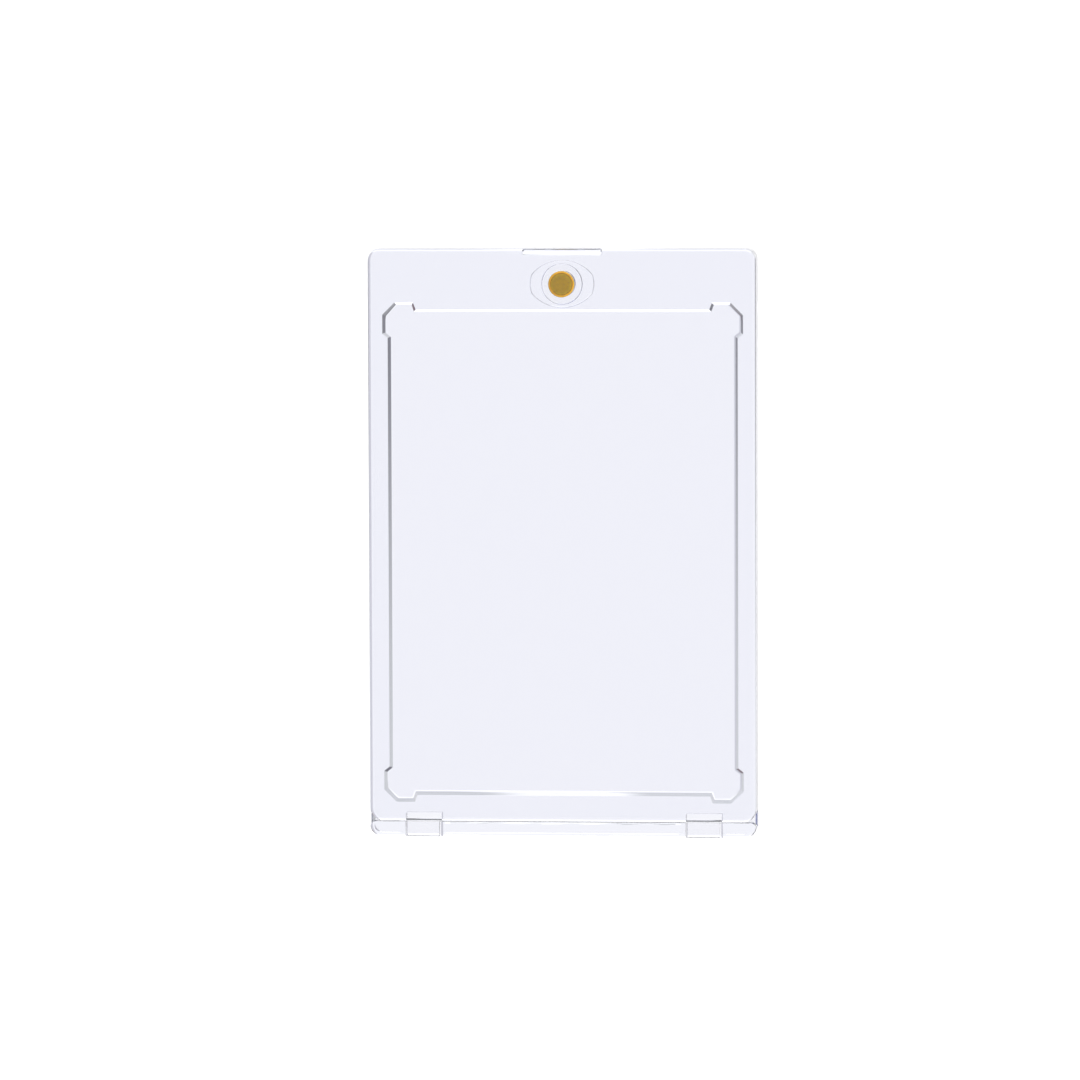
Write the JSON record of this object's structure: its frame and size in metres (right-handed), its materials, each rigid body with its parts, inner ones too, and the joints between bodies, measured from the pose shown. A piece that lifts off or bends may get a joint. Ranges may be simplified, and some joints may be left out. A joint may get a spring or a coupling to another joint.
{
  "type": "trading card display case",
  "caption": "Clear flat two-piece case for one trading card, with a hooked foot hinge, a magnet catch, a sloped card pocket with relieved corners and a thumb notch.",
  "frame": {"origin": "middle of the flat back, at its surface", "axes": "+X across the case, +Y from the hinge lip at the foot to the magnet at the head, +Z out of the front cover"},
  "size_m": [0.0722, 0.1094, 0.006],
  "materials": {
    "clear_plastic": "polished, clear, faint lavender tint",
    "gold_plate": "bright gold plate"
  },
  "bodies": {
    "rear": {"rear_shell": "clear_plastic", "rear_magnet": "gold_plate", "rear_magnet_plug": "clear_plastic"},
    "cover": {"front_cover": "clear_plastic", "front_magnet": "gold_plate", "front_magnet_plug": "clear_plastic"}
  },
  "joints": [
    {"name": "cover_hinge", "type": "hinge", "parent": "rear", "child": "cover", "pos_m": [0, -0.05185, 0.006], "axis": [1, 0, 0], "range_deg": [0, 60]}
  ]
}
